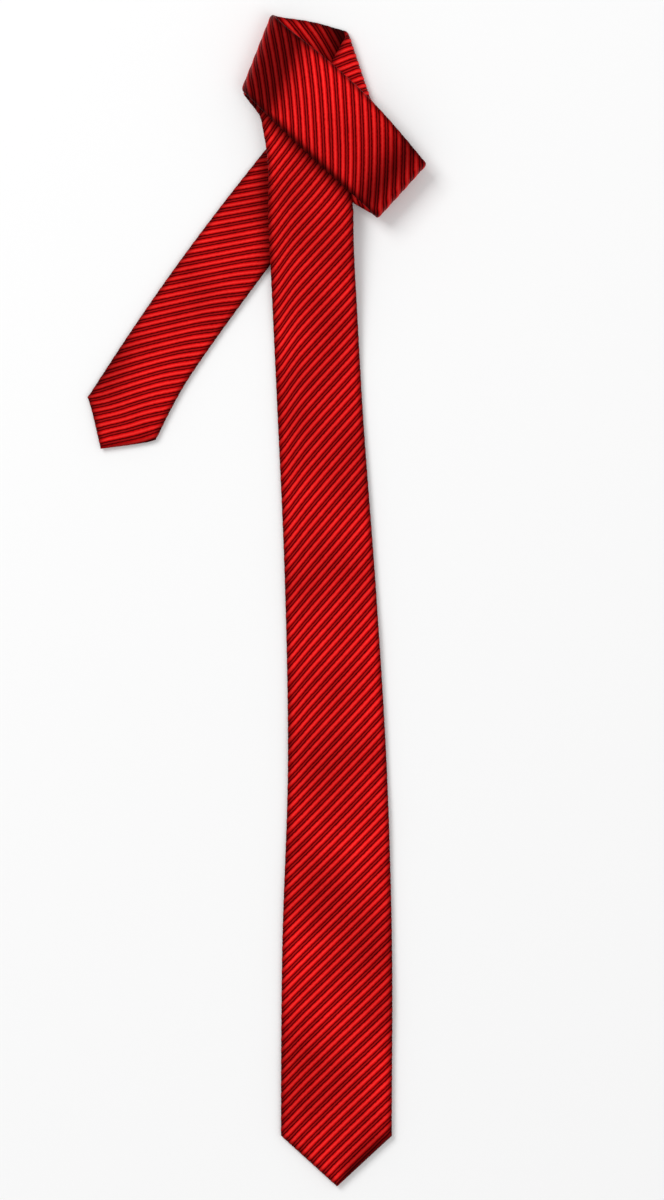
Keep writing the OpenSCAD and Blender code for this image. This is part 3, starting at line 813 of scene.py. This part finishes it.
# ---- strips, threads and trims ----
COIL = (TAIL_SEAM, s_at_y(160))  # here the strip is folded and needs close rows
SLAB_TOP, SLAB_BACK, SLAB_INSET = 0.85, -0.55, 1.2  # faces of the interlining in Z, and its gap to the edges
THREAD_R = 0.13


def strip_inside(name, span, material):
    """A closed flat strip inside the shell, pointed where the tie is."""
    coiled = span[1] > COIL[0] + 1 and span[0] < COIL[1] - 1
    step, spacing = (0.7, 1.5) if coiled else (2.0, 5.0)
    lo, hi = max(span[0], 3.0), min(span[1], LENGTH - 3.0)
    s = np.linspace(lo, hi, max(3, int((hi - lo) / step) + 1))
    w = np.minimum.reduce([look_up(s, WIDTH) - SLAB_INSET, (s - 1.6) * HALF_W[0] / TAIL_POINT,
                           (LENGTH - 1.9 - s) * HALF_W[1] / BLADE_POINT])
    share = np.linspace(-1, 1, int(2 * w.max() / spacing) + 2)
    xs = np.concatenate([share, share[::-1]])
    zs = np.repeat([SLAB_TOP, SLAB_BACK], len(share))
    zs = zs * np.clip((1 - np.abs(xs)) * w.mean() / 1.5, 0.35, 1)
    n, m = len(s), len(xs)
    points = on_strip(np.column_stack([np.repeat(s, m), (w[:, None] * xs).ravel(), np.tile(zs, n)]))
    obj = new_object(name, points, loft_faces(np.arange(n * m).reshape(n, m), flip=True), material)
    return obj


def tube(points, radius, sides=6, closed=False):
    """Vertices and faces of a thread through points."""
    p = np.asarray(points, float)
    ahead = unit_rows(np.roll(p, -1, 0) - np.roll(p, 1, 0) if closed else np.gradient(p, axis=0))
    side = unit_rows(np.cross(ahead, [0.03, 0.02, 1.0]))
    up = np.cross(side, ahead)
    turns = 2 * math.pi * np.arange(sides) / sides
    verts = np.stack([p + radius * (math.cos(a) * side + math.sin(a) * up) for a in turns], 1).reshape(-1, 3)
    return verts, loft_faces(np.arange(len(verts)).reshape(len(p), sides), ring=closed)


def threads(name, paths, radius, material, sides=6, closed=False):
    """One object of several threads, in the row frame."""
    verts, faces = join([tube(path, radius, sides, closed) for path in paths])
    return new_object(name, verts, faces, material)


def stitch(p, q, lift, steps=8, sink=0.35):
    """Path of one stitch from p to q that stands out along lift and dives in at both ends."""
    p, q, lift = np.array(p, float), np.array(q, float), np.array(lift, float)
    t = np.linspace(0, 1, steps + 1)
    bulge = np.clip(np.sin(math.pi * t) * 2.2, 0, 1) - sink
    return p + (q - p) * t[:, None] + lift * bulge[:, None]


def on_strip(path):
    path = np.asarray(path, float)
    return lay(path[:, 0], path[:, 1], path[:, 2] + wave(path[:, 0], path[:, 1]) * calm(path[:, 0]))


STITCH = 6.5  # from one slip stitch to the next


def slip_stitches(name, span, material):
    """The running thread in the back seam, and the short slanting stitches that cross it."""
    lo, hi = max(span[0], TAIL_TACK + 1), min(span[1], s_at_y(TACK_Y) - 1)
    if hi - lo < 4:
        return None
    s = np.arange(lo, hi, 0.6)
    paths = [on_strip(np.column_stack([s, 0.05 * np.sin(s * 0.9), np.full_like(s, -HALF + 0.55)]))]
    for k in range(math.ceil((lo + 1) / STITCH), int((hi - 3) / STITCH) + 1):
        at, z = k * STITCH, -HALF + 0.02
        paths.append(on_strip(stitch((at, -0.75, z), (at + 2.0, 0.75, z), (0, 0, -0.14))))
    return threads(name, paths, THREAD_R, material, 5)


def seam_row(name, at, material):
    """Machine stitches of a piecing seam, across the front and the back."""
    paths = []
    w = float(look_up(at, WIDTH)) - ROLL
    for z in (HALF - 0.32, -HALF + 0.32):
        for x in np.arange(-w, w - 2, 2.3):
            if z < 0 and abs(x + 0.9) < 2:
                continue
            side = math.copysign(0.16, z)
            paths.append(on_strip(stitch((at, x, z), (at, x + 1.9, z), (0, 0, side))))
    return threads(name, paths, 0.12, material, 5)


def kite(end, grow):
    """The opening at one end in strip space, grown on every side: tack, a side, foot, b side."""
    tack, wide, half, foot = KITES[end]
    away = (-1, 1)[end]
    return [np.array(v) for v in ((0, tack - away * 2 * grow), (half + grow, wide), (0, foot + away * grow),
                                  (-half - grow, wide))]


def tipping(name, end, material):
    """Lining of a point, seen between the flaps and the hem; it is slack and ripples a little."""
    corners = kite(end, (3, 4)[end])
    lo = min(c[1] for c in corners)
    hi = max(c[1] for c in corners)
    w = max(c[0] for c in corners)
    spacing = 0.9
    x, s = np.meshgrid(np.linspace(-w, w, int(2 * w / spacing)), np.linspace(lo, hi, int((hi - lo) / spacing)))
    data = np.column_stack([x.ravel(), s.ravel()] + [np.zeros(x.size)] * 4)
    bm = to_bmesh(data, grid_quads(np.arange(x.size).reshape(x.shape)))
    for k in range(4):
        n = -normal(corners[k], corners[(k + 1) % 4], sum(corners) / 4)
        split(bm, (*corners[k], 0), (*n, 0), clear=True)
    data, faces = from_bmesh(bm)
    x, s = data[:, 0], data[:, 1]
    ripple = 0.072 * np.sin(s * 0.55 + 0.2 * x) + 0.056 * np.sin(x * 0.8 - 0.12 * s + 1)
    points = on_strip(np.column_stack([s, x, -HALF + 0.62 + ripple]))
    obj = new_object(name, points, faces, material)
    return obj


def hem_stitches(name, end, count, material):
    """Hand stitches that catch the hem to the tipping."""
    corners = kite(end, -0.2)
    paths = []
    for p, q in ((corners[1], corners[2]), (corners[2], corners[3])):
        out, along = -normal(p, q, sum(corners) / 4), unit(q - p)
        for k in range(1, count + 1):
            m = p + (q - p) * k / (count + 1)
            a, b = m + out * 1.1 + along * 0.5, m - out * 0.9 - along * 0.5
            paths.append(on_strip(stitch((*a[::-1], -HALF), (*b[::-1], -HALF + 0.35), (0, 0, -0.16))))
    return threads(name, paths, THREAD_R, material, 5)


def bar_tack(name, at, length, width, material):
    """Dense zigzag over two core threads, across the seam where the flaps part."""
    paths = [on_strip([(at + off, x, -HALF - 0.12) for x in np.linspace(-length / 2, length / 2, 12)])
             for off in (-width / 5, width / 5)]
    n, slant, z = int(length / 0.34), 0.12, -HALF - 0.05
    for k in range(n):
        x = -length / 2 + length * (k + 0.5) / n
        ends = (at - width / 2, x - slant, z), (at + width / 2, x + slant, z)
        paths.append(on_strip(stitch(*ends, (0, 0, -0.22), 6, 0.5)))
    return threads(name, paths, 0.14, material)


def spare_loop(name, material):
    """The slack end of the slip stitch, a loop left below the tack so that the tie can stretch."""
    t = np.linspace(0, 2 * math.pi, 72, endpoint=False)
    radius = 5.5 * (1 + 0.07 * np.sin(2 * t + 0.7) + 0.03 * np.sin(3 * t))
    loop = np.column_stack([BLADE_MID + 0.92 * radius * np.sin(t), TACK_Y - 8 + 1.15 * radius * np.cos(t),
                            0.72 + 0.12 * np.sin(3 * t)])
    return threads(name, [loop], 0.17, material, 8, closed=True)


def band(name, x0, x1, y, width, profile, half, depth, material):
    """A flat closed strap across the blade's back, ribbed underneath. profile(x) is the height of its middle."""
    spacing = 0.35
    x = np.arange(x0, x1 + spacing / 2, spacing)[:, None]
    v = np.linspace(-1, 1, int(width / spacing) + 1)
    a, side = np.concatenate([v, v[::-1]]), np.repeat([-1, 1], len(v))
    soft = np.sqrt(np.maximum(0, 1 - np.abs(a) ** 8)) * np.clip(0.35 + np.minimum(x - x0, x1 - x) / 0.5, None, 1)
    phase = (x - x0 + a * width / 2) / PITCH
    dip = np.where(side < 0, depth / DEPTH * rib_height(phase), 0)
    middle = np.array([profile(at) for at in x[:, 0]])[:, None]
    points = np.stack(np.broadcast_arrays(x, y + a * width / 2, middle + side * (half + dip) * soft), -1)
    index = np.arange(phase.size).reshape(phase.shape)
    along = np.broadcast_to(a * width / 2, phase.shape)
    return new_object(name, points.reshape(-1, 3), loft_faces(index), material,
                      [("rib", phase.ravel()), ("run", along.ravel()), ("tone", np.ones(phase.size))])


def patch(name, wide, high, y0, middle, half, material, curl=0.0):
    """A small woven label with soft edges, level at z = middle, its lower (y0) edge curled by curl."""
    soft, spacing = 0.4, 0.5
    u, v = np.meshgrid(np.linspace(0, 1, int(wide / spacing) + 1), np.linspace(0, 1, int(high / spacing) + 1),
                       indexing="ij")
    x, y = BLADE_MID - wide / 2 + wide * u, y0 + high * v
    rim = np.minimum.reduce([u * wide, (1 - u) * wide, v * high, (1 - v) * high])
    thick = half * (0.25 + 0.75 * np.sqrt(np.clip(rim / soft, 0, 1)))
    bend = curl * (1 - v) ** 2 + 0.04 * np.sin(x * 0.7) * (1 - v)
    points = np.stack([np.stack([x, y, middle + side * thick - bend], -1) for side in (1, -1)]).reshape(-1, 3)
    top = np.arange(x.size).reshape(x.shape)
    low = top + x.size
    quads = [grid_quads(top), grid_quads(low)[:, [0, 3, 2, 1]]]
    for p, q in ((low[:, 0], top[:, 0]), (top[:, -1], low[:, -1]), (top[0], low[0]), (low[-1], top[-1])):
        quads.append(np.stack([p[:-1], p[1:], q[1:], q[:-1]], -1))
    return new_object(name, points, [tuple(f) for f in np.vstack(quads).tolist()], material)


# ---- camera, light and floor ----
def look():
    scene = bpy.context.scene
    scene.view_settings.view_transform = "Standard"
    camera = add("camera", bpy.data.cameras.new("camera"))
    view_h, far, lens = 0.756, 4.0, 200.0  # height of the view on the table, distance, focal length in mm
    camera.data.sensor_fit = "VERTICAL"
    camera.data.lens = lens
    camera.data.sensor_height = lens * view_h / far
    camera.data.clip_end = 20
    camera.location = (0.04725, 0.000315, far)
    scene.camera = camera
    world = bpy.data.worlds.new("world")
    world.use_nodes = True
    background = world.node_tree.nodes["Background"]
    background.inputs[0].default_value = (1, 1, 1, 1)
    background.inputs[1].default_value = 0.56
    scene.world = world
    for name, place, size, power in (("key", (-2.3, 2.4, 3.1), 2.2, 112), ("fill", (2.0, -1.8, 4.4), 3.0, 44)):
        light = bpy.data.lights.new(name, "AREA")
        light.size, light.energy = size, power
        lamp = add(name, light)
        lamp.location = place
        lamp.rotation_euler = (Vector((0.03, 0, 0)) - Vector(place)).to_track_quat("-Z", "Y").to_euler()
    floor_me = bpy.data.meshes.new("floor")
    size, z = 3.0, -0.0004
    corners = [(x * size, y * size, z) for x, y in ((-1, -1), (1, -1), (1, 1), (-1, 1))]
    floor_me.from_pydata(corners, [], [(0, 1, 2, 3)])
    paper = Shader("paper")
    paper.put(paper.bsdf, {"Base Color": (0.93, 0.93, 0.93, 1), "Roughness": 0.9})
    floor_me.materials.append(paper.material)
    add("floor", floor_me)


look()
SILK = silk_material()

# Stretches of the strip: name, last s, column spacing, the bodies it lies on (the one nearer the coil first), s of
# the bend between them, and the shell node that it stands for on the neck
MID_INNER = (s_at("c2", 1) + s_at("c3", 0)) / 2
MID_BAND = (s_at("c3", 1) + s_at("c4", 0)) / 2
SEAM_B = (s_at("c4", 1) + s_at("c5", 0)) / 2
STRETCHES = [
    ("tail_point", TAIL_BENDS[0] + 33, 1.4, ("tail_middle", "tail_tip"), TAIL_BENDS[0], None),
    ("tail_bend", TAIL_SEAM, 1.4, ("neck", "tail_middle"), TAIL_BENDS[1], "tail_shell_top"),
    ("tail_loop", MID_INNER, 0.8, ("neck",), None, "neck_shell"),
    ("inner_run", MID_BAND, 0.8, ("neck",), None, "neck_shell"),
    ("top_band", SEAM_B, 0.8, ("neck",), None, "neck_shell"),
    ("under_band", s_at("shoulders"), 0.8, ("neck",), None, "blade_shell_top"),
    ("blade_top", s_at_y(160), 1.4, ("neck",), None, "blade_shell_top"),
]
PANELS = ("neck", "blade_upper", "blade_middle", "blade_lower", "blade_tip")
for k, last_y in enumerate((64, -49, -135, -240)):
    STRETCHES.append(("blade_bend_%d" % (k + 1), s_at_y(last_y), 1.4, PANELS[k:k + 2], s_at_y(BLADE_BENDS[k]),
                      "blade_shell_top"))
STRETCHES.append(("blade_point", LENGTH, 1.4, PANELS[4:], None, None))
BEND_REACH = {"tail": 6.0, "blade": 9.0}


def attach(obj, end, bodies, bend):
    """Ride a stretch on its body, or blend it over the bend between its two."""
    if bend is None:
        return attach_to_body(obj, bodies[0])
    reach = BEND_REACH[end] * (-1 if end == "tail" else 1)
    ends = lay(np.array([bend - reach, bend + reach]), np.zeros(2), np.zeros(2)) * MM
    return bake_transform(obj, *bodies, start=tuple(ends[0]), end=tuple(ends[1]))


WOOL = wool_material()
satin = woven("tipping_satin", srgb(120, 4, 12), srgb(186, 16, 26), 0.0004, 0.38, angle=0.7, sheen=0.25)
satin.put(satin.bsdf, {"Sheen Tint": srgb(255, 120, 130)})
SATIN = satin.material
THREAD = thread_material("red_thread", srgb(150, 6, 14), srgb(226, 34, 36))
PALE_THREAD = thread_material("pale_thread", srgb(196, 186, 150), srgb(238, 232, 206))
LABEL_DARK = bordered("label_dark", srgb(26, 26, 34), srgb(206, 192, 150))
LABEL_PALE = woven("label_pale", srgb(222, 220, 214), srgb(248, 247, 243), 0.0004, 0.5).material
OVERLAP = 6.0  # the two back flaps and their turned edges need this much more silk than twice the width

start = 0.0
for name, stop, spacing, bodies, bend, neck_shell in STRETCHES:
    span, end = (start, stop), name.split("_")[0]
    silk = silk_piece("silk_" + name, span, spacing, SILK)
    inner = strip_inside("interlining_" + name, span, WOOL)
    sewn = slip_stitches("slip_stitch_" + name, span, THREAD)
    width = 2 * float(WIDTH[(TABLE >= start) & (TABLE <= stop)].mean())
    cloth = (2 * width + OVERLAP) * (stop - start)
    if name.endswith("_point"):
        tack, _, half, foot = KITES[end == "blade"]
        cloth -= half * abs(tack - foot) + width * (TAIL_POINT if end == "tail" else BLADE_POINT)
    for obj, slot in ((silk, "ribbed_silk"), (inner, "interlining"), (sewn, "sewing_thread")):
        if obj is None:
            continue
        attach(obj, end, bodies, bend)
        for body in bodies[::-1] if end == "tail" else bodies:
            if obj is silk:
                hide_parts(neck_shell if body == "neck" else body.replace("_", "_shell_"))
            else:
                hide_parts(obj.name.replace(name, body))
    start = stop


def trim(obj, body, node):
    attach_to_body(obj, body)
    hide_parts(node)


ENDS = ("tail", "blade")
for end, seam in zip(ENDS, (TAIL_SEAM, SEAM_B)):
    trim(seam_row("piecing_seam_" + end, seam, THREAD), "neck", end + "_piecing_seam")
for k, end in enumerate(ENDS):
    trim(tipping("tipping_" + end, k, SATIN), end + "_tip", end + "_tipping")
for k, end in enumerate(ENDS):
    hand = hem_stitches("hem_stitching_" + end, k, (9, 13)[k], THREAD)
    trim(hand, end + "_tip", end + "_hem_stitches")
for end, at, size in zip(ENDS, (TAIL_TACK, s_at_y(TACK_Y)), ((7, 1.2), (9, 1.4))):
    trim(bar_tack("bar_tack_of_" + end, at, *size, THREAD), end + "_tip", end + "_bar_tack")
trim(spare_loop("spare_loop", THREAD), "blade_tip", "spare_thread_loop")

KEEPER_LEN, KEEPER_W, FOOT = 48.0, 12.0, 4.0
k0, k1 = BLADE_MID - KEEPER_LEN / 2, BLADE_MID + KEEPER_LEN / 2


def keeper_height(x):
    """Middle of the keeper's thickness: sewn flat at its feet and hanging clear between them."""
    foot = max(smooth((k0 + FOOT + 2.5 - x) / 3), smooth((x - k1 + FOOT + 2.5) / 3))
    return 0.28 + 0.42 * foot


keeper = band("keeper_band", k0, k1, KEEPER_Y, KEEPER_W, keeper_height, 0.24, 0.16, SILK)
trim(keeper, "blade_lower", "keeper_loop")
tacks = []
for side in (-1, 1):
    middle_x = BLADE_MID + side * (KEEPER_LEN - FOOT) / 2
    for k in range(22):
        y = KEEPER_Y - KEEPER_W / 2 + 1.6 + (KEEPER_W - 3.2) * k / 21
        ends = (middle_x - 0.7, y - 0.12, 0.42), (middle_x + 0.7, y + 0.12, 0.42)
        tacks.append(stitch(*ends, (0, 0, -0.2), 6, 0.4))
trim(threads("keeper_tack_threads", tacks, THREAD_R, THREAD), "blade_lower", "keeper_tacks")

LABEL_LEN, LABEL_W, CARE_W, CARE_LEN = 44.0, 18.0, 22.0, 16.0
label = patch("name_label", LABEL_LEN, LABEL_W, LABEL_Y - LABEL_W / 2, 0.80, 0.17, LABEL_DARK)
trim(label, "blade_lower", "maker_label")
dashes = []
for side in (-1, 1):
    x = BLADE_MID + side * (LABEL_LEN / 2 - 1.5)
    for k in range(6):
        y = LABEL_Y - LABEL_W / 2 + 1.4 + k * 2.7
        dashes.append(stitch((x, y, 0.62), (x, y + 2.0, 0.62), (0, 0, -0.14)))
trim(threads("name_label_stitching", dashes, 0.14, PALE_THREAD), "blade_lower",
     "maker_label_stitches")
care = patch("care_flap_label", CARE_W, CARE_LEN, CARE_Y - CARE_LEN, 0.36, 0.11, LABEL_PALE, curl=0.14)
trim(care, "care_flap", "care_label")
x, y = BLADE_MID - CARE_W / 2 + 1.5, CARE_Y + 0.55
dashes = [stitch((x + k * 2.8, y, 0.72), (x + 2.1 + k * 2.8, y, 0.72), (0, 0, -0.14)) for k in range(7)]
trim(threads("care_label_stitching", dashes, THREAD_R, PALE_THREAD), "blade_lower",
     "care_label_stitches")
